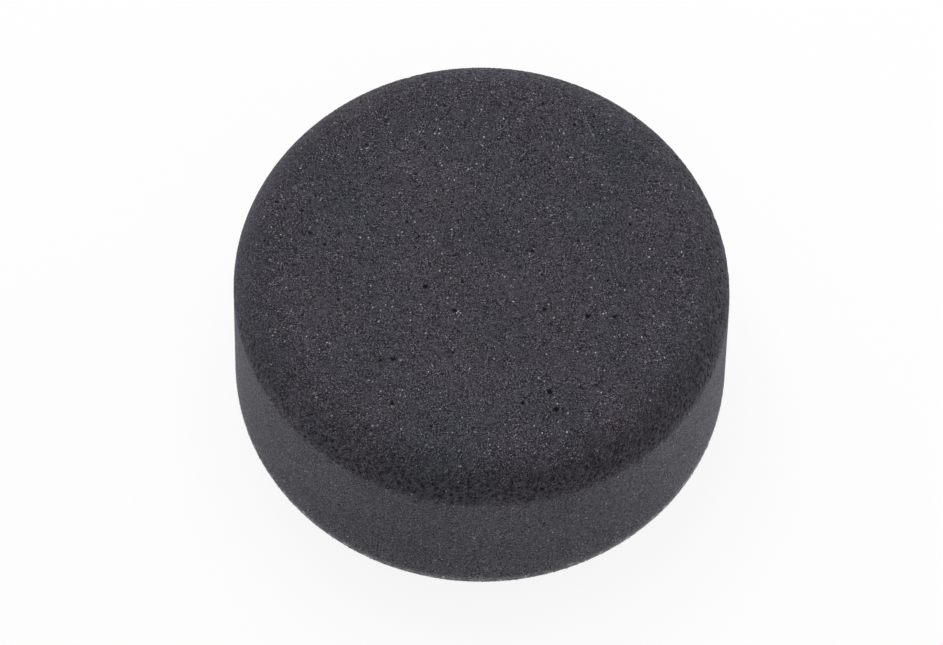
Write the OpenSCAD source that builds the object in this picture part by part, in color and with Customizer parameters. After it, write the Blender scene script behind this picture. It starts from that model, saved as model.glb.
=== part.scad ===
// Round foam polishing pad for a spot polisher: a die-cut disc of fine open-cell foam with a ground
// shoulder, bonded by a hot-melt film to a loop fabric that grips the hooks of a backing plate.
// The loops lie on z = 0, the pad's axis is Z, and the working face is at the top.

/* [Pad] */
// Diameter of the laminate: foam, film and fabric are cut in one stroke of the die
pad_d = 75; // [50:1:180]
// Thickness of the foam block under the flat working face
foam_h = 29.5; // [15:0.5:50]

/* [Shoulder] */
// Radius of the rounding that is ground around the working face
shoulder_r = 7; // [2:0.5:10]
// Angle through which the rounding turns before it meets the wall in an edge
shoulder_turn = 80; // [45:1:90]

/* [Backing] */
// Thickness of the hot-melt film between the foam and the fabric
film_t = 0.2; // [0.1:0.05:0.5]
// Thickness of the loop fabric, from its knitted ground to the tips of the loops
fabric_t = 1.3; // [0.8:0.1:3]

/* [Hidden] */

$fn = 180;

// Heights at which the layers begin, from the loop tips up
film_z = fabric_t;
foam_z = film_z + film_t;

// Plan radius of the laminate, and of the part of the working face that stays flat
pad_r = pad_d / 2;
shoulder_w = shoulder_r * sin(shoulder_turn);
flat_r = pad_r - shoulder_w;

// Height of the straight die-cut wall, from the film to the edge of the shoulder
shoulder_drop = shoulder_r * (1 - cos(shoulder_turn));
wall_h = foam_h - shoulder_drop;

foam_colour = [0.255, 0.25, 0.275];
film_colour = [0.5, 0.49, 0.46];
fabric_colour = [0.29, 0.285, 0.3];

// Half section of the foam: the straight wall, the flat middle, and the arc of the shoulder
// between them, which the plane of the wall cuts off before it turns vertical
module foam_section() {
    square([pad_r, wall_h]);
    square([flat_r, foam_h]);
    intersection() {
        translate([flat_r, foam_h - shoulder_r])
            circle(r = shoulder_r);
        square([pad_r, foam_h]);
    }
}

// One block of open-cell foam, working face up
module foam_disc() {
    color(foam_colour)
        translate([0, 0, foam_z])
            rotate_extrude()
                foam_section();
}

// Hot-melt film, cut flush with the foam
module adhesive_film() {
    color(film_colour)
        translate([0, 0, film_z])
            cylinder(h = film_t, r = pad_r);
}

// Loop fabric, cut flush with the foam, loops down
module loop_backing() {
    color(fabric_colour)
        cylinder(h = fabric_t, r = pad_r);
}

foam_disc();
adhesive_film();
loop_backing();
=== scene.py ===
import math
from itertools import product

import bpy
import numpy as np
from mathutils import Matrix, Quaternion, Vector


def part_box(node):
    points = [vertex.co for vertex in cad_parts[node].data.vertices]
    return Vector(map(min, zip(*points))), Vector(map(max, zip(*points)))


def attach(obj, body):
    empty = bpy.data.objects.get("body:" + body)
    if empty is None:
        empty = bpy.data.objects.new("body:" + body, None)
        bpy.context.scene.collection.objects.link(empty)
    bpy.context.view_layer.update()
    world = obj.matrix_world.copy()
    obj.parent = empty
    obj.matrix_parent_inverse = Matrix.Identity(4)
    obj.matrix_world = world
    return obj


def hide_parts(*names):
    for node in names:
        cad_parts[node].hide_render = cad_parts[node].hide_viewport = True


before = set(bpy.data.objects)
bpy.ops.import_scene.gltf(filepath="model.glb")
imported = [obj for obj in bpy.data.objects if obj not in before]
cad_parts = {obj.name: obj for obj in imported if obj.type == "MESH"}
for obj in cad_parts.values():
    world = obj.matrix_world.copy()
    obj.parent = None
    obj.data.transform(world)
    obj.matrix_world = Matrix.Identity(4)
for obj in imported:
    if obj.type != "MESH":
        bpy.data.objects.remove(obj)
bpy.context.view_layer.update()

# Lengths are in metres, angles round the pad run from +x, and the photograph was taken from -y
MM = 0.001
FULL_TURN = 2 * math.pi
SEED = 20

# Sizes of the pad, from the frame and from the shoulder's two driving dimensions
foam_low, foam_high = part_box("foam_disc")
film_low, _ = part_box("adhesive_film")
fabric_low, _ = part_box("loop_backing")
PAD_R = foam_high.x
TOP_Z = foam_high.z
FOAM_Z = foam_low.z
FILM_Z = film_low.z
TIP_Z = fabric_low.z
SHOULDER_R = 7 * MM
SHOULDER_TURN = math.radians(80)
SHOULDER_W = SHOULDER_R * math.sin(SHOULDER_TURN)
SHOULDER_DROP = SHOULDER_R * (1 - math.cos(SHOULDER_TURN))
FLAT_R = PAD_R - SHOULDER_W
ARC_LENGTH = SHOULDER_R * SHOULDER_TURN
WALL_HEIGHT = TOP_Z - SHOULDER_DROP - FOAM_Z

# The shoulder was ground by hand: on its calm side the edge sags and the finish is even, on its spared
# side few cells are torn, and all round the finish ends on the wall in a ragged, soft border
CALM_SIDE = math.radians(338)
SPARED_SIDE = math.radians(165)
SIDE_FOCUS = 3
EDGE_SAG = 1.7 * MM
BORDER_ABOVE = 0.3 * MM
BORDER_SOFT = 3 * MM
BORDER_WAVES = range(6, 130, 4)
BORDER_RAGGED, CALM_RAGGED = 0.3 * MM, 0.6
FRINGE_CELL = 0.9 * MM
FRINGE_SHARE, CALM_FRINGE = 0.8, 0.4

# Mesh of the foam: spacing of its rings, how far its vertices stray from even places, how many more of
# them each ring of a flat disc has than the last, the few rings of the hidden underside, and the gaps
# between the pieces of its flat map
GROUND_STEP, CUT_STEP = 0.15 * MM, 0.2 * MM
STEP_STRAY = 0.35
DISC_GROWTH = 6
UNDER_STEP, UNDER_RINGS = 0.05, 5
MAP_GAP = 1.5 * MM

# Cells of the foam, fine all over, deeper on the ground foam than on the wall
FINE_CELL = 0.32 * MM
CELL_WALL = 0.45
GROUND_DEPTH, CUT_DEPTH = 0.12 * MM, 0.06 * MM

# Wider cells that are torn open on the shoulder, the share of them that a side lacks, and its even wear,
# whose darkening on the calm side is painted shade and whose lightening on the spared side is painted
# light
TORN_CELL = 0.85 * MM
TORN_DEPTH = 0.25 * MM
TORN_REACH = 1.25
TORN_FROM, TORN_OVER = 1.15, 0.55
SPARED_TEARS, CALM_TEARS = 0.85, 0.3
SPARED_WEAR_AND_LIGHT, CALM_WEAR_AND_SHADE = -0.08, 0.44

# Sparse round voids in the block, most of them small, and shallower on the wall
VOID_APART = 0.75 * MM
VOID_R = (0.1 * MM, 0.27 * MM)
VOID_RARITY = 16
VOID_DRAW = 500
# Depth at which a void's painted shade turns fully black
VOID_FULL_SHADE = 0.08 * MM
CUT_SHALLOW = 0.55

# Places of the face's widest voids, as (x, y) in mm, listed from the widest to the narrowest
WIDE_VOID_R = (0.45 * MM, 0.25 * MM)
WIDE_VOIDS = [
    (10.5, -21), (-13, -16), (-8.5, -3.5), (11.5, -24), (16, -8),
    (-4, -7.5), (-13, -23.5), (6.5, -23), (20, -8), (9.5, -7),
    (7.5, 3), (-11.5, 7.5), (13.5, 25), (16.5, 26.5), (-9.5, 9.5),
]

# Painted highlights: strut ends that catch the light, painted into the colour as glints, gathered in
# patches, and few where the foam is cut or torn
GLINT_ODDS = 0.026
GLINT_FAINT = 0.06
GLINT_PATCH = 3 * MM
GLINT_REACH = 1.2
GLINT_STRAY, GLINT_GATHERED = 0.4, 2.6
GLINT_DRAW = 7
CUT_DULL, TORN_DULL = 0.8, 0.98

# Painted light that makes the wall paler towards its foot: faintly up to a ragged height, and more at the
# very foot
LIT_FOOT_HEIGHT = 6.5 * MM
LIT_FOOT_REACH, LIT_FOOT_RAGGED = 0.75, 0.5
FOOT_HEIGHT = 1 * MM
LIT_FOOT_SHARE, FOOT_SHARE = 0.48, 0.52

# Film, whose edge wanders a little behind the wall, and the few vertices in the rings of its flat faces
FILM_SHY = 0.1 * MM
FILM_WAVES = range(25, 200, 7)
FILM_WANDER, FILM_LEAST = 0.5, 0.1
FILM_INSET = 1 * MM
FILM_COARSE, FILM_FINE = 24, 180

# Knitted ground, with wales underneath, and a rim that the die pressed together down to the loops' tips
KNIT_UNDER = 0.72 * MM
KNIT_STEP = 0.26 * MM
KNIT_COARSE = 48
KNIT_RELIEF = 0.14 * MM
WALE, COURSE = 0.88 * MM, 0.8 * MM
RIB_BLUNT = 0.6
STITCH_MEAN, STITCH_SWING = 0.65, 0.35
RIM_Z, RIM_W, RIM_ROUND = 0.02 * MM, 0.35 * MM, 0.06 * MM
RIM_BEHIND, RIM_ROWS = 0.1 * MM, 5
# Lightness of the knit: on the underside the stitches' tops lighter and the grooves between them darker,
# painted shade; darker underneath on the whole, and a little darker on the rim
STITCH_RELIEF_SHADE, UNDER_LIGHT, RIM_LIGHT = 0.9, -1.1, -0.25

# Standing loops of yarn on the ground's underside
LOOP_STEPS, LOOP_SIDES = 6, 3
LOOP_R = 0.06 * MM
LOOP_HALF_WIDTH = (0.28 * MM, 0.48 * MM)
LOOP_HEIGHT = (0.5 * MM, 0.66 * MM)
LOOP_LEAN = 0.2 * MM
LOOP_STRAY = 0.4
LOOP_LIGHT = (-0.6, 0.35)

# Short loops of yarn that the die pressed flat round the rim, paler low down, which is painted light from
# the floor, and paler where they stand in tufts
EDGE_LOOPS = 5000
EDGE_LAYER = 0.1 * MM
EDGE_HALF_WIDTH = (0.1 * MM, 0.3 * MM)
EDGE_DROP = (0.2 * MM, 0.6 * MM)
EDGE_HANGING = 0.5
EDGE_SKEW = 0.12
EDGE_SLANT = 0.6
EDGE_SETTLED = 1.25
EDGE_LIGHT = (-0.5, 0.5)
EDGE_PAINTED_FADE = 0.6
TUFT_SIZE = 1.1 * MM
TUFT_REACH = 1.3
TUFT_LIGHT = 0.8

# The photograph's frame and where it holds the middle of the pad
FRAME_W, FRAME_H = 943, 645
PAD_X_PX, PAD_Y_PX = 481.15, 316.09
SENSOR_MM = 36
LENS_MM = 377
CAMERA_FAR = 40 * PAD_R
CAMERA_UP = math.radians(61.5)
CAMERA_ROLL = math.radians(1.24)

# Floor, its colour, and how much of what the camera sees of it is its own white
FLOOR_HALF = 4.0
FLOOR_COLOUR = (0.9, 0.9, 0.9, 1)
FLOOR_GLOW = 0.88

# Numbers that scramble the places of a lattice, from a common random generator, how fast a random spot
# fades with distance, and the span that most of a noise's shares fill
HASH_FACTOR, HASH_STEP, HASH_ROUNDS = 1664525, 1013904223, 2
SPOT_FALL = 2.2
NOISE_SPAN = (0.3, 0.7)


# Random fields


def random_shares(ix, iy, iz):
    """Three random shares of one for each cell of a lattice, the same on every run."""
    x, y, z = (np.asarray(i).astype(np.uint32) for i in (ix, iy, iz))
    x, y, z = (i * np.uint32(HASH_FACTOR) + np.uint32(HASH_STEP + SEED) for i in (x, y, z))
    for _ in range(HASH_ROUNDS):
        x = x + y * z
        y = y + z * x
        z = z + x * y
        x, y, z = (i ^ (i >> np.uint32(16)) for i in (x, y, z))
    return np.stack([x, y, z], 1) / 2.0**32


def lattice_neighbours(points, size):
    """For each of the 27 lattice cells around every point: the cell, and its random centre."""
    base = np.floor(points / size).astype(np.int64)
    for offset in product((-1, 0, 1), repeat=3):
        cell = base + np.array(offset)
        yield cell, (cell + random_shares(*cell.T)) * size


def cell_distances(points, size):
    """Distances from each point to the nearest and next nearest cell centre, in cell sizes."""
    nearest = np.full(len(points), np.inf)
    second = np.full(len(points), np.inf)
    for _, centre in lattice_neighbours(points, size):
        gap = np.linalg.norm(centre - points, axis=1) / size
        second = np.minimum(second, np.maximum(nearest, gap))
        nearest = np.minimum(nearest, gap)
    return nearest, second


def smooth_step(x):
    """x, held between 0 and 1, with a smooth start and end."""
    x = np.clip(x, 0, 1)
    return x * x * (3 - 2 * x)


def cell_hollows(points, size):
    """0 on the struts between the cells of a random foam, 1 in the middle of a cell."""
    nearest, second = cell_distances(points, size)
    return smooth_step((second - nearest) / CELL_WALL)


def random_spots(points, size, reach):
    """1 round random centres about this size apart, 0 away from them. A wider spot has a larger reach."""
    nearest, _ = cell_distances(points, size)
    return smooth_step(reach - SPOT_FALL * nearest)


def ring_wave(angle, counts, seed):
    """A random wave round the pad, made of waves with these numbers of crests, of unit mean square."""
    phases = np.random.default_rng(seed).uniform(0, FULL_TURN, len(counts))
    waves = sum(np.cos(count * angle + phase) for count, phase in zip(counts, phases))
    return waves / math.sqrt(len(counts) / 2)


def ball_depths(points, normals, centre, radius):
    """How deep the bottom of a ball lies below each of the points inside it, and 0 at the others."""
    gap = points - centre
    height = (gap * normals).sum(1)
    inside = radius**2 - (gap**2).sum(1)
    bottom = height + np.sqrt(np.clip(inside + height**2, 0, None))
    return np.where(inside > 0, bottom, 0)


def void_depths(points, normals):
    """How deep the round voids, cut open by the surface, lie below each of its points."""
    depth = np.zeros(len(points))
    least, most = VOID_R
    for cell, centre in lattice_neighbours(points, VOID_APART):
        luck = random_shares(*(cell + VOID_DRAW).T)[:, 0]
        radius = least + (most - least) * luck**VOID_RARITY
        depth = np.maximum(depth, ball_depths(points, normals, centre, radius))
    for (x, y), radius in zip(WIDE_VOIDS, np.linspace(*WIDE_VOID_R, len(WIDE_VOIDS))):
        centre = (x * MM, y * MM, TOP_Z)
        depth = np.maximum(depth, ball_depths(points, normals, centre, radius))
    return depth


# Meshes


def level_vectors(angle, length, height=0.0):
    """Vectors of this length along the ground at each angle, with this height."""
    return np.stack(np.broadcast_arrays(length * np.cos(angle), length * np.sin(angle), height), 1)


def zip_rings(first, second):
    """Triangles between two closed rings of vertices, whatever the number in each."""
    n, m = len(first), len(second)
    first_mid = (np.arange(n) + 0.5) / n
    second_mid = (np.arange(m) + 0.5) / m
    second_at = np.searchsorted(second_mid, first_mid, side="left") % m
    first_at = np.searchsorted(first_mid, second_mid, side="right") % n
    inner = np.stack([first, second[second_at], np.roll(first, -1)], 1)
    outer = np.stack([second, np.roll(second, -1), first[first_at]], 1)
    if n == 1:
        return outer
    if m == 1:
        return inner
    return np.concatenate([inner, outer])


def zip_all(counts):
    """Triangles that join rings with these numbers of vertices, each to the next."""
    starts = np.concatenate([[0], np.cumsum(counts)])
    rings = [np.arange(a, b) for a, b in zip(starts, starts[1:])]
    return np.concatenate([zip_rings(a, b) for a, b in zip(rings, rings[1:])])


def turned_rings(rings):
    """Points and triangles of rings of (radius, height, number of vertices), each joined to the next."""
    points = []
    for radius, height, count in rings:
        angle = np.arange(count) * FULL_TURN / count
        points.append(level_vectors(angle, radius, height))
    return np.concatenate(points), zip_all([count for _, _, count in rings])


def mesh_object(name, points, triangles, material):
    """A smooth-shaded mesh object of these triangles."""
    mesh = bpy.data.meshes.new(name)
    mesh.vertices.add(len(points))
    mesh.vertices.foreach_set("co", points.astype(np.float32).ravel())
    mesh.loops.add(triangles.size)
    mesh.loops.foreach_set("vertex_index", triangles.astype(np.int32).ravel())
    mesh.polygons.add(len(triangles))
    mesh.polygons.foreach_set("loop_start", np.arange(0, triangles.size, 3, dtype=np.int32))
    mesh.update(calc_edges=True)
    mesh.shade_smooth()
    mesh.materials.append(material)
    made = bpy.data.objects.new(name, mesh)
    bpy.context.scene.collection.objects.link(made)
    return made


def set_attribute(obj, name, values):
    """Stores one number per vertex for the material to read."""
    stored = obj.data.attributes.new(name, "FLOAT", "POINT")
    stored.data.foreach_set("value", values.astype(np.float32))


# Foam


def near_side(angle, side):
    """1 on this side of the pad, falling smoothly to 0 on the other."""
    return np.exp(SIDE_FOCUS * (np.cos(angle - side) - 1))


def foam_surface(angle, along):
    """Places and normals on the smooth foam. along runs 0 to 1 over the flat face, to 2 over the
    shoulder, to 3 down the wall and to 4 across the underside to its middle."""
    drop = SHOULDER_DROP + EDGE_SAG * near_side(angle, CALM_SIDE)
    turn = np.clip(along - 1, 0, 1) * SHOULDER_TURN
    down = np.clip(along - 2, 0, 1)
    deep = drop / (1 - math.cos(SHOULDER_TURN))
    on_wall, under = along > 2, along > 3
    radius = np.where(along < 1, along * FLAT_R, FLAT_R + SHOULDER_R * np.sin(turn))
    radius = np.where(on_wall, PAD_R, radius)
    radius = np.where(under, PAD_R * (4 - along), radius)
    height = TOP_Z - deep * (1 - np.cos(turn))
    height = np.where(on_wall, (TOP_Z - drop) * (1 - down) + FOAM_Z * down, height)
    tilt = np.arctan2(deep * np.sin(turn), SHOULDER_R * np.cos(turn))
    tilt = np.where(on_wall, math.pi / 2, tilt)
    tilt = np.where(under, math.pi, tilt)
    return level_vectors(angle, radius, height), level_vectors(angle, np.sin(tilt), np.cos(tilt))


def foam_rings():
    """(along, number of vertices, spacing of along) of each ring, from the middle of the face. The
    spacing is 0 where a ring has to stay in its place."""
    flat_steps = round(FLAT_R / GROUND_STEP)
    arc_steps = round(ARC_LENGTH / GROUND_STEP)
    wall_steps = round(WALL_HEIGHT / CUT_STEP)
    round_ground = round(FULL_TURN * PAD_R / GROUND_STEP)
    round_cut = round(FULL_TURN * PAD_R / CUT_STEP)
    rings = [(0, 1, 0)]
    rings += [(k / flat_steps, DISC_GROWTH * k, 1 / flat_steps) for k in range(1, flat_steps + 1)]
    rings += [(1 + k / arc_steps, round_ground, 1 / arc_steps) for k in range(1, arc_steps)]
    rings += [(2, round_ground, 0)]
    rings += [(2 + k / wall_steps, round_cut, 1 / wall_steps) for k in range(1, wall_steps)]
    rings += [(3, round_cut, 0)]
    rings += [(3 + UNDER_STEP * 2**k, round_cut // 2 ** (k + 1), 0) for k in range(UNDER_RINGS)]
    return rings + [(4, 1, 0)]


def foam_grid():
    """Angles, places along the section and triangles of the foam's mesh, unevenly spread."""
    rng = np.random.default_rng(SEED)
    angles, alongs = [], []
    rings = foam_rings()
    for along, count, spacing in rings:
        stray = STEP_STRAY if spacing else 0
        shift = rng.uniform(-stray, stray, (2, count))
        angles.append((np.arange(count) + shift[0]) * FULL_TURN / count)
        alongs.append(along + shift[1] * spacing)
    triangles = zip_all([count for _, count, _ in rings])
    return np.concatenate(angles), np.concatenate(alongs), triangles


def foam_map(obj, angle, along, triangles):
    """Lays the foam's surface out flat for a baked picture: the face and shoulder as a disc, the wall as
    three strips beside and above it, and the underside as a small disc in the corner."""
    angle, along = angle[triangles], along[triangles]
    disc_r = FLAT_R + ARC_LENGTH
    past_disc = 2 * disc_r + 2 * MAP_GAP
    side = 2 * disc_r + 2 * WALL_HEIGHT + 4 * MAP_GAP
    # Face and shoulder
    reach = np.minimum(along, 1) * FLAT_R + np.clip(along - 1, 0, 1) * ARC_LENGTH
    u = MAP_GAP + disc_r + reach * np.cos(angle)
    v = MAP_GAP + disc_r + reach * np.sin(angle)
    # Wall, two strips upright beside the disc and one level above it
    third = FULL_TURN / 3
    middle = np.angle(np.exp(1j * angle).sum(1, keepdims=True)) % FULL_TURN
    turned = (angle - middle + math.pi) % FULL_TURN - math.pi + middle
    strip = np.floor(middle / third)
    run = MAP_GAP + PAD_R * (turned - strip * third)
    down = past_disc + np.clip(along - 2, 0, 1) * WALL_HEIGHT
    on_wall = along.max(1, keepdims=True) > 2
    level = strip == 2
    u = np.where(on_wall, np.where(level, run, down + strip * (WALL_HEIGHT + MAP_GAP)), u)
    v = np.where(on_wall, np.where(level, down, run), v)
    # Underside
    under = along.min(1, keepdims=True) >= 3
    small = WALL_HEIGHT / 2
    inward = (4 - along) * small
    u = np.where(under, past_disc + small + inward * np.cos(angle), u)
    v = np.where(under, past_disc + small + inward * np.sin(angle), v)
    layer = obj.data.uv_layers.new(name="OFBake")
    layer.data.foreach_set("uv", (np.stack([u, v], 2) / side).astype(np.float32).ravel())


def cut_shares(angle, along, fringe):
    """0 on the ground face and shoulder, 1 on the die-cut wall, with a ragged, soft border between."""
    below_edge = np.where(along < 2, (along - 2) * ARC_LENGTH, (along - 2) * WALL_HEIGHT)
    calm = near_side(angle, CALM_SIDE)
    ragged = BORDER_RAGGED * ring_wave(angle, BORDER_WAVES, SEED) * (1 - CALM_RAGGED * calm)
    border = below_edge + BORDER_ABOVE + ragged
    frayed = (FRINGE_SHARE - CALM_FRINGE * calm) * (fringe - 0.5)
    return smooth_step(0.5 + border / BORDER_SOFT + frayed)


def tears(points, angle, torn):
    """How far the cells of the torn shoulder are open: in spots, and evenly more on the calm side and less
    on the spared side. The even part darkens the calm side as painted shade and lightens the spared side
    as painted light.
    """
    calm = near_side(angle, CALM_SIDE)
    spared = near_side(angle, SPARED_SIDE)
    coarse = 1 - SPARED_TEARS * spared - CALM_TEARS * calm
    spots = random_spots(points, TORN_CELL, TORN_REACH)
    # The even part is painted shade on the calm side and painted light on the spared side
    return (spots * coarse + CALM_WEAR_AND_SHADE * calm + SPARED_WEAR_AND_LIGHT * spared) * torn


def painted_foot_light(points, fringe):
    """How much painted light makes the foam paler at each point, more towards the wall's foot."""
    above_film = points[:, 2] - FOAM_Z
    faint = np.clip(LIT_FOOT_REACH + LIT_FOOT_RAGGED * fringe - above_film / LIT_FOOT_HEIGHT, 0, 1)
    return LIT_FOOT_SHARE * faint + FOOT_SHARE * np.exp(-above_film / FOOT_HEIGHT)


def painted_glints(points, cut, torn):
    """How brightly each point is painted as a glint of a strut's end, a painted highlight. Few are, and
    most of those are faint.
    """
    index = np.arange(len(points))
    none = np.zeros_like(index)
    luck = random_shares(index, none + GLINT_DRAW, none)[:, 0]
    patch = random_spots(points, GLINT_PATCH, GLINT_REACH)
    bare = 1 - np.maximum(CUT_DULL * cut, TORN_DULL * torn)
    odds = GLINT_ODDS * (GLINT_STRAY + GLINT_GATHERED * patch) * bare
    shine = GLINT_FAINT / (luck / odds + GLINT_FAINT) - GLINT_FAINT / (1 + GLINT_FAINT)
    return np.clip(shine, 0, 1)


def make_foam(material):
    """The foam block: random cells and round voids, cut open by its surface."""
    angle, along, triangles = foam_grid()
    smooth, normals = foam_surface(angle, along)
    fine = cell_hollows(smooth, FINE_CELL)
    fringe, _ = cell_distances(smooth, FRINGE_CELL)
    cut = cut_shares(angle, along, fringe)
    torn = smooth_step((along - TORN_FROM) / TORN_OVER) * (1 - cut)
    tear = tears(smooth, angle, torn)
    void = void_depths(smooth, normals) * (1 - CUT_SHALLOW * cut)
    depth = fine * (GROUND_DEPTH * (1 - cut) + CUT_DEPTH * cut) + TORN_DEPTH * tear
    open_air = along < 3
    points = smooth - normals * (np.maximum(depth, void) * open_air)[:, None]
    foam = mesh_object("foam_block", points, triangles, material)
    set_attribute(foam, "hollow", fine)
    set_attribute(foam, "torn", torn)
    set_attribute(foam, "tear", tear)
    # Painted shade: the deeper a void, the blacker its colour
    set_attribute(foam, "void", np.clip(void / VOID_FULL_SHADE, 0, 1))
    set_attribute(foam, "cut", cut)
    # Painted light that makes the wall's foot paler
    set_attribute(foam, "lit_foot", painted_foot_light(points, fringe))
    # Painted highlights: glints of strut ends, for the material to paint in
    set_attribute(foam, "glint", painted_glints(points, cut, torn))
    foam_map(foam, angle, along, triangles)
    return foam


# Backing


def make_film(material):
    """The hot-melt film: a thin disc whose rounded edge wanders a little behind the wall."""
    high, low = FOAM_Z, FILM_Z
    bead = (high - low) / 4
    around = round(FULL_TURN * PAD_R / KNIT_STEP)
    flat = [(0, 1), (PAD_R / 2, FILM_COARSE), (PAD_R - FILM_INSET, FILM_FINE)]
    edge = [(PAD_R - bead, high), (PAD_R, high - bead), (PAD_R, low + bead), (PAD_R - bead, low)]
    rings = [(radius, high, count) for radius, count in flat]
    rings += [(radius, height, around) for radius, height in edge]
    rings += [(radius, low, count) for radius, count in reversed(flat)]
    points, triangles = turned_rings(rings)
    radius = np.hypot(points[:, 0], points[:, 1])
    angle = np.arctan2(points[:, 1], points[:, 0])
    wander = 1 + FILM_WANDER * ring_wave(angle, FILM_WAVES, SEED + 1)
    shy = FILM_SHY * np.clip(wander, FILM_LEAST, None)
    kept = np.where(radius > PAD_R - 2 * bead, 1 - shy / PAD_R, 1)
    points[:, :2] *= kept[:, None]
    return mesh_object("hot_melt_film", points, triangles, material)


def stitches(x, y):
    """Height of the knitted ground's underside, from 0 to 1: upright wales of leaning stitches."""
    across = x / WALE
    rib = np.abs(np.cos(math.pi * across)) ** RIB_BLUNT
    lean = np.abs(across % 1 - 0.5)
    return rib * (STITCH_MEAN + STITCH_SWING * np.cos(FULL_TURN * (y / COURSE + lean)))


def make_knit(material):
    """The knitted ground: a thin sheet with wales underneath, and a rim that reaches down to the loops'
    tips."""
    high, low = FILM_Z, KNIT_UNDER
    around = round(FULL_TURN * PAD_R / KNIT_STEP)
    outside = PAD_R - RIM_BEHIND
    inside = PAD_R - RIM_W - KNIT_STEP
    steps = round(inside / KNIT_STEP)
    rim = [(outside - RIM_ROUND, high)]
    rim += [(outside, height) for height in np.linspace(high - RIM_ROUND, RIM_Z + RIM_ROUND, RIM_ROWS)]
    rim += [(outside - RIM_ROUND, RIM_Z), (PAD_R - RIM_W, RIM_Z)]
    rings = [(0, high, 1), (PAD_R / 2, high, KNIT_COARSE), (inside, high, around // 2)]
    rings += [(radius, height, around) for radius, height in rim]
    rings += [(inside * k / steps, low, DISC_GROWTH * k) for k in range(steps, 0, -1)]
    rings += [(0, low, 1)]
    points, triangles = turned_rings(rings)
    relief = stitches(points[:, 0], points[:, 1])
    underneath = points[:, 2] == low
    points[:, 2] -= np.where(underneath, KNIT_RELIEF * relief, 0)
    knit = mesh_object("knitted_ground", points, triangles, material)
    # Painted shade: the knit's underside is darker in the grooves between stitches
    lightness = np.where(underneath, STITCH_RELIEF_SHADE * relief + UNDER_LIGHT, RIM_LIGHT)
    set_attribute(knit, "lightness", lightness)
    return knit


def loop_triangles(count):
    """Triangles of closed tubes, ring after ring and loop after loop."""
    side = np.arange(LOOP_SIDES)
    after = (side + 1) % LOOP_SIDES
    here = (np.arange(LOOP_STEPS - 1) * LOOP_SIDES)[:, None]
    there = here + LOOP_SIDES
    first = np.stack([here + side, here + after, there + side], 2)
    second = np.stack([here + after, there + after, there + side], 2)
    # The tubes are three-sided, so one triangle closes each end
    last = (LOOP_STEPS - 1) * LOOP_SIDES
    caps = np.array([side[::-1], side + last])
    one = np.concatenate([first.reshape(-1, 3), second.reshape(-1, 3), caps])
    starts = np.arange(count) * LOOP_STEPS * LOOP_SIDES
    return (starts[:, None, None] + one).reshape(-1, 3)


def arched_loops(name, middles, spans, sags, lightness, material):
    """Loops of yarn, each a tube along half an ellipse. From the middle between a loop's feet, its span
    leads to one foot and its sag to the turn of the loop."""
    arch = np.linspace(0, math.pi, LOOP_STEPS)[:, None]
    line = middles[:, None] - spans[:, None] * np.cos(arch) + sags[:, None] * np.sin(arch)
    tangent = spans[:, None] * np.sin(arch) + sags[:, None] * np.cos(arch)
    tangent /= np.linalg.norm(tangent, axis=2, keepdims=True)
    aside = np.cross(spans, sags)
    aside /= np.linalg.norm(aside, axis=1, keepdims=True)
    inward = np.cross(tangent, aside[:, None])
    turn = np.arange(LOOP_SIDES)[:, None] * FULL_TURN / LOOP_SIDES
    ring = np.cos(turn) * aside[:, None, None] + np.sin(turn) * inward[:, :, None]
    points = (line[:, :, None] + LOOP_R * ring).reshape(-1, 3)
    # No yarn stands out of the pad's wall or hangs below the loops' tips
    radius = np.hypot(points[:, 0], points[:, 1])
    points[:, :2] *= np.minimum(1, PAD_R / radius)[:, None]
    points[:, 2] = np.maximum(points[:, 2], TIP_Z)
    loops = mesh_object(name, points, loop_triangles(len(middles)), material)
    set_attribute(loops, "lightness", np.repeat(lightness, LOOP_STEPS * LOOP_SIDES))
    return loops


def make_pile(material):
    """The loops that grip a hook face, standing on the stitches of the ground's underside."""
    rng = np.random.default_rng(SEED + 3)
    rows = np.arange(-PAD_R, PAD_R, WALE), np.arange(-PAD_R, PAD_R, COURSE)
    feet = np.stack(np.meshgrid(*rows), -1).reshape(-1, 2)
    feet += rng.uniform(-LOOP_STRAY, LOOP_STRAY, feet.shape) * (WALE, COURSE)
    feet = feet[np.hypot(*feet.T) < PAD_R - LOOP_HALF_WIDTH[1]]
    count = len(feet)
    middles = np.column_stack([feet, np.full(count, KNIT_UNDER)])
    yaw = rng.uniform(0, math.pi, count)
    spans = level_vectors(yaw, rng.uniform(*LOOP_HALF_WIDTH, count))
    lean = rng.normal(0, LOOP_LEAN, count)
    sags = level_vectors(yaw + math.pi / 2, lean, -rng.uniform(*LOOP_HEIGHT, count))
    lightness = rng.uniform(*LOOP_LIGHT, count)
    return arched_loops("loop_pile", middles, spans, sags, lightness, material)


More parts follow.
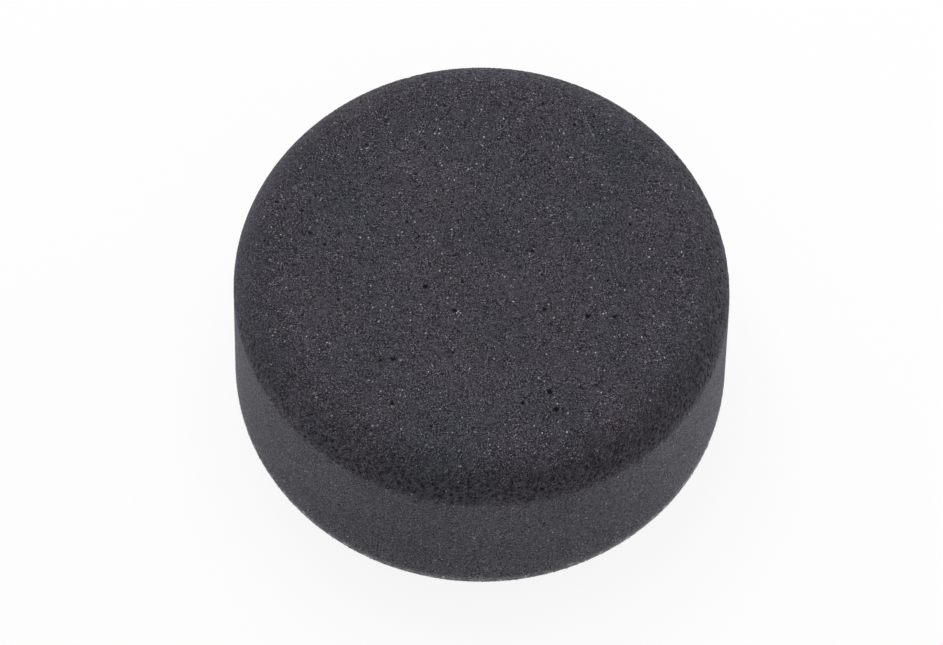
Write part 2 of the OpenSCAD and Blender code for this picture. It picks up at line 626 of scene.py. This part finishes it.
def make_edge(material):
    """The yarn of the cut edge: short loops that hang and stand in a thin layer round the rim."""
    rng = np.random.default_rng(SEED + 4)
    angle = rng.uniform(0, FULL_TURN, EDGE_LOOPS)
    reach = PAD_R - LOOP_R - rng.uniform(0, EDGE_LAYER, EDGE_LOOPS)
    drop = rng.uniform(*EDGE_DROP, EDGE_LOOPS)
    room = FILM_Z - 2 * LOOP_R - TIP_Z - drop
    lowest = TIP_Z + LOOP_R + room * rng.random(EDGE_LOOPS) ** EDGE_SETTLED
    hangs = rng.random(EDGE_LOOPS) < EDGE_HANGING
    middles = level_vectors(angle, reach, np.where(hangs, lowest + drop, lowest))
    half_width = rng.uniform(*EDGE_HALF_WIDTH, EDGE_LOOPS)
    skew = rng.normal(0, EDGE_SKEW, EDGE_LOOPS)
    slant = rng.uniform(-EDGE_SLANT, EDGE_SLANT, EDGE_LOOPS)
    spans = level_vectors(angle + math.pi / 2 + skew, half_width, half_width * slant)
    sags = level_vectors(angle, 0, np.where(hangs, -drop, drop))
    tuft = random_spots(middles, TUFT_SIZE, TUFT_REACH)
    lightness = rng.uniform(*EDGE_LIGHT, EDGE_LOOPS) + TUFT_LIGHT * tuft
    # Painted light: paler low down, where light from the floor falls
    lightness -= EDGE_PAINTED_FADE * middles[:, 2] / FILM_Z
    return arched_loops("edge_yarn", middles, spans, sags, lightness, material)


# Materials


def new_material(name, rough, specular):
    """A node material, its node tree and its shader, with a plain roughness and specular level."""
    material = bpy.data.materials.new(name)
    material.use_nodes = True
    shader = material.node_tree.nodes["Principled BSDF"]
    shader.inputs["Roughness"].default_value = rough
    shader.inputs["Specular IOR Level"].default_value = specular
    return material, material.node_tree, shader


def set_sheen(shader, weight, rough):
    """The pale bloom of fine fibres or struts that are seen edge on."""
    shader.inputs["Sheen Weight"].default_value = weight
    shader.inputs["Sheen Roughness"].default_value = rough


def add_node(tree, kind, inputs, **settings):
    """Adds a node with these settings, and joins or sets its inputs, given by name or by number."""
    node = tree.nodes.new(kind)
    for name, value in settings.items():
        setattr(node, name, value)
    for key, value in inputs.items():
        if isinstance(value, bpy.types.NodeSocket):
            tree.links.new(value, node.inputs[key])
        else:
            node.inputs[key].default_value = value
    return node


def attribute(tree, name):
    """The number that each vertex holds under this name."""
    return add_node(tree, "ShaderNodeAttribute", {}, attribute_name=name).outputs["Fac"]


def calculate(tree, operation, first, second=0.0, third=0.0):
    """One step of arithmetic."""
    inputs = {0: first, 1: second, 2: third}
    return add_node(tree, "ShaderNodeMath", inputs, operation=operation).outputs[0]


def ramp(tree, value, low, high, start=0.0, end=1.0):
    """value, taken from the span start to end onto the span low to high."""
    inputs = {"Value": value, "From Min": start, "From Max": end, "To Min": low, "To Max": high}
    return add_node(tree, "ShaderNodeMapRange", inputs).outputs["Result"]


def noise_ramp(tree, shares, low, high):
    """A noise's shares, taken from the span that most of them fill onto the span low to high."""
    return ramp(tree, shares, low, high, *NOISE_SPAN)


def mix_colours(tree, share, first, second, blend="MIX"):
    """The first colour, with this share of the second blended in."""
    inputs = {0: share, 6: first, 7: second}
    return add_node(tree, "ShaderNodeMix", inputs, data_type="RGBA", blend_type=blend).outputs[2]


def noise(tree, size, detail):
    """Smooth random shares around one half, with lumps of about this size in metres."""
    place = add_node(tree, "ShaderNodeTexCoord", {}).outputs["Object"]
    inputs = {"Vector": place, "Scale": 1 / size, "Detail": detail}
    return add_node(tree, "ShaderNodeTexNoise", inputs).outputs["Fac"]


def add_bump(tree, shader, height, strength, distance):
    """Fine relief that is too small for the mesh."""
    inputs = {"Height": height, "Strength": strength, "Distance": distance}
    bump = add_node(tree, "ShaderNodeBump", inputs)
    tree.links.new(bump.outputs["Normal"], shader.inputs["Normal"])


def foam_tone(tree, grain, cut):
    """A factor on the foam's colour: grain, stronger in some patches than in others and weaker where the
    foam is torn, with broad clouds, painted light that makes the wall's foot paler, and painted shade in
    hollows and tears."""
    grain_swing = 5.6
    shade = -1.05
    torn = attribute(tree, "torn")
    lit_foot = attribute(tree, "lit_foot")
    patchy = noise(tree, size=1.8 * MM, detail=1)
    cloud = noise(tree, size=15 * MM, detail=1)
    light = calculate(tree, "MULTIPLY_ADD", grain, grain_swing, -grain_swing / 2)
    light = calculate(tree, "MULTIPLY", light, noise_ramp(tree, patchy, low=0.4, high=1.6))
    # Strong grain makes a patch paler on the whole, so it is darkened to match
    light = calculate(tree, "ADD", light, noise_ramp(tree, patchy, low=0.2, high=-0.2))
    light = calculate(tree, "MULTIPLY", light, ramp(tree, torn, low=1, high=0.65))
    light = calculate(tree, "ADD", light, ramp(tree, torn, low=0, high=0.21))
    light = calculate(tree, "ADD", light, ramp(tree, cloud, low=-0.2, high=0.2))
    # Painted light: paler towards the wall's foot
    light = calculate(tree, "ADD", light, ramp(tree, lit_foot, low=0, high=0.65))
    # Painted shade: darker in the cells' hollows and in the open torn cells
    for hole in ("hollow", "tear"):
        light = calculate(tree, "MULTIPLY_ADD", attribute(tree, hole), shade, light)
    light = calculate(tree, "MULTIPLY", light, ramp(tree, cut, low=1, high=0.95))
    return calculate(tree, "EXPONENT", light)


def foam_material():
    """Charcoal foam: cool and warm where it is ground, paler where it is cut, with painted shade that
    blackens the voids and painted glints on strut ends."""
    material, tree, shader = new_material("charcoal_foam", rough=0.85, specular=0.12)
    set_sheen(shader, weight=0.13, rough=0.5)
    shader.inputs["Sheen Tint"].default_value = (0.9, 0.9, 1, 1)
    cool, warm = (0.0514, 0.0523, 0.0647, 1), (0.0588, 0.0514, 0.0649, 1)
    die_cut = (0.0722, 0.0693, 0.0823, 1)
    void_shade, glint_highlight = (0.004, 0.004, 0.005, 1), (0.83, 0.82, 0.84, 1)
    cut = attribute(tree, "cut")
    grain = noise(tree, size=0.2 * MM, detail=1)
    hue = noise(tree, size=14 * MM, detail=3)
    ground = mix_colours(tree, noise_ramp(tree, hue, low=0, high=1), cool, warm)
    colour = mix_colours(tree, cut, ground, die_cut)
    colour = mix_colours(tree, 1.0, colour, foam_tone(tree, grain, cut), "MULTIPLY")
    # Painted shade: black in the voids
    colour = mix_colours(tree, attribute(tree, "void"), colour, void_shade)
    # Painted highlight: glints of strut ends, painted into the colour
    colour = mix_colours(tree, attribute(tree, "glint"), colour, glint_highlight)
    tree.links.new(colour, shader.inputs["Base Color"])
    tree.links.new(noise_ramp(tree, grain, low=0.95, high=0.7), shader.inputs["Roughness"])
    add_bump(tree, shader, noise(tree, size=0.16 * MM, detail=2), strength=0.5, distance=0.03 * MM)
    return material


def film_material():
    """Smoky hot melt, satin and a little cloudy, dark enough to read as a line of painted shade between
    foam and fabric.
    """
    material, tree, shader = new_material("smoky_film", rough=0.45, specular=0.4)
    # Partly the film's own smoky colour, partly painted shade: a dark line between foam and fabric
    dark, pale = (0.06, 0.058, 0.066, 1), (0.1, 0.097, 0.107, 1)
    cloud = noise(tree, size=1.5 * MM, detail=2)
    tree.links.new(mix_colours(tree, cloud, dark, pale), shader.inputs["Base Color"])
    tree.links.new(noise_ramp(tree, cloud, low=0.35, high=0.6), shader.inputs["Roughness"])
    add_bump(tree, shader, noise(tree, size=0.4 * MM, detail=2), strength=0.4, distance=0.05 * MM)
    return material


def yarn_material(name, base):
    """Charcoal yarn, lighter or darker from stitch to stitch and along its fibres."""
    material, tree, shader = new_material(name, rough=0.8, specular=0.25)
    set_sheen(shader, weight=0.15, rough=0.4)
    fibre_swing = 2.0
    fibre = noise(tree, size=0.12 * MM, detail=2)
    light = calculate(tree, "MULTIPLY_ADD", fibre, fibre_swing, -fibre_swing / 2)
    light = calculate(tree, "ADD", light, attribute(tree, "lightness"))
    colour = mix_colours(tree, 1.0, base, calculate(tree, "EXPONENT", light), "MULTIPLY")
    tree.links.new(colour, shader.inputs["Base Color"])
    tree.links.new(noise_ramp(tree, fibre, low=0.9, high=0.65), shader.inputs["Roughness"])
    add_bump(tree, shader, fibre, strength=0.5, distance=0.03 * MM)
    return material


# Stage


def soft_box(name, azimuth, elevation, far, size, level):
    """A square lamp aimed at the pad. level is the brightness it gives a white card that faces it."""
    lamp = bpy.data.lights.new(name, "AREA")
    lamp.shape = "SQUARE"
    lamp.size = size
    lamp.energy = level * math.pi**2 * far**2
    obj = bpy.data.objects.new(name, lamp)
    bpy.context.scene.collection.objects.link(obj)
    a, e = math.radians(azimuth), math.radians(elevation)
    away = Vector((math.cos(a) * math.cos(e), math.sin(a) * math.cos(e), math.sin(e)))
    obj.location = away * far + Vector((0, 0, TOP_Z / 2))
    obj.rotation_euler = away.to_track_quat("Z", "Y").to_euler()
    obj.visible_camera = False


def seen_directly(tree):
    """1 for what the camera, a mirror or glass shows, 0 for light on its way to a surface."""
    path = add_node(tree, "ShaderNodeLightPath", {})
    seen = path.outputs["Is Camera Ray"]
    for other in ("Is Glossy Ray", "Is Transmission Ray"):
        seen = calculate(tree, "MAXIMUM", seen, path.outputs[other])
    return seen


def make_world(level):
    """White surroundings that light the pad at this level."""
    world = bpy.data.worlds.new("studio")
    bpy.context.scene.world = world
    world.use_nodes = True
    tree = world.node_tree
    background = tree.nodes["Background"]
    background.inputs["Color"].default_value = (1, 1, 1, 1)
    strength = ramp(tree, seen_directly(tree), low=level, high=1)
    tree.links.new(strength, background.inputs["Strength"])


def make_floor():
    """A white floor that shows the camera mostly its own white, and so only a faint shadow."""
    half = FLOOR_HALF
    corners = np.array([[-half, -half, 0], [half, -half, 0], [half, half, 0], [-half, half, 0]])
    material = bpy.data.materials.new("pale_floor")
    material.use_nodes = True
    tree = material.node_tree
    tree.nodes.remove(tree.nodes["Principled BSDF"])
    diffuse = add_node(tree, "ShaderNodeBsdfDiffuse", {"Color": FLOOR_COLOUR})
    glow = add_node(tree, "ShaderNodeEmission", {"Color": (1, 1, 1, 1), "Strength": 1.0})
    share = calculate(tree, "MULTIPLY", seen_directly(tree), FLOOR_GLOW)
    mixed = add_node(tree, "ShaderNodeMixShader", {0: share, 1: diffuse.outputs[0], 2: glow.outputs[0]})
    tree.links.new(mixed.outputs[0], tree.nodes["Material Output"].inputs["Surface"])
    floor = mesh_object("floor", corners, np.array([[0, 1, 2], [0, 2, 3]]), material)


def make_camera():
    """The photograph's camera, aimed at the middle of the pad, rolled and shifted to its framing."""
    data = bpy.data.cameras.new("camera")
    data.sensor_width = SENSOR_MM
    data.lens = LENS_MM
    data.shift_x = (FRAME_W / 2 - PAD_X_PX) / FRAME_W
    data.shift_y = (PAD_Y_PX - FRAME_H / 2) / FRAME_W
    data.clip_start, data.clip_end = CAMERA_FAR / 10, CAMERA_FAR * 10
    camera = bpy.data.objects.new("camera", data)
    bpy.context.scene.collection.objects.link(camera)
    away = Vector((0, -math.cos(CAMERA_UP), math.sin(CAMERA_UP)))
    camera.location = away * CAMERA_FAR + Vector((0, 0, TOP_Z / 2))
    level = away.to_track_quat("Z", "Y")
    camera.rotation_euler = (level @ Quaternion((0, 0, 1), CAMERA_ROLL)).to_euler()
    bpy.context.scene.camera = camera


make_camera()
make_world(level=0.36)
make_floor()
soft_box("overhead", azimuth=100, elevation=71, far=0.7, size=0.5, level=0.545)
soft_box("left", azimuth=126, elevation=46, far=0.8, size=0.5, level=0.2)
soft_box("right", azimuth=30, elevation=10, far=0.8, size=0.5, level=0.43)
soft_box("front", azimuth=284, elevation=14, far=0.8, size=0.5, level=0.14)

foam = make_foam(foam_material())
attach(foam, "root")
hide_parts("foam_disc")

film = make_film(film_material())
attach(film, "root")
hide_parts("adhesive_film")

knit = make_knit(yarn_material("knitted_yarn", (0.21, 0.203, 0.231, 1)))
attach(knit, "root")
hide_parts("loop_backing")

pile = make_pile(yarn_material("loop_yarn", (0.21, 0.203, 0.226, 1)))
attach(pile, "root")
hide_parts("loop_backing")

# The edge yarn is paler than the other yarn, partly its own paler fibres and partly painted light from the
# floor
edge = make_edge(yarn_material("edge_yarn", (0.37, 0.36, 0.388, 1)))
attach(edge, "root")
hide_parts("loop_backing")

bpy.context.scene.view_settings.view_transform = "Standard"
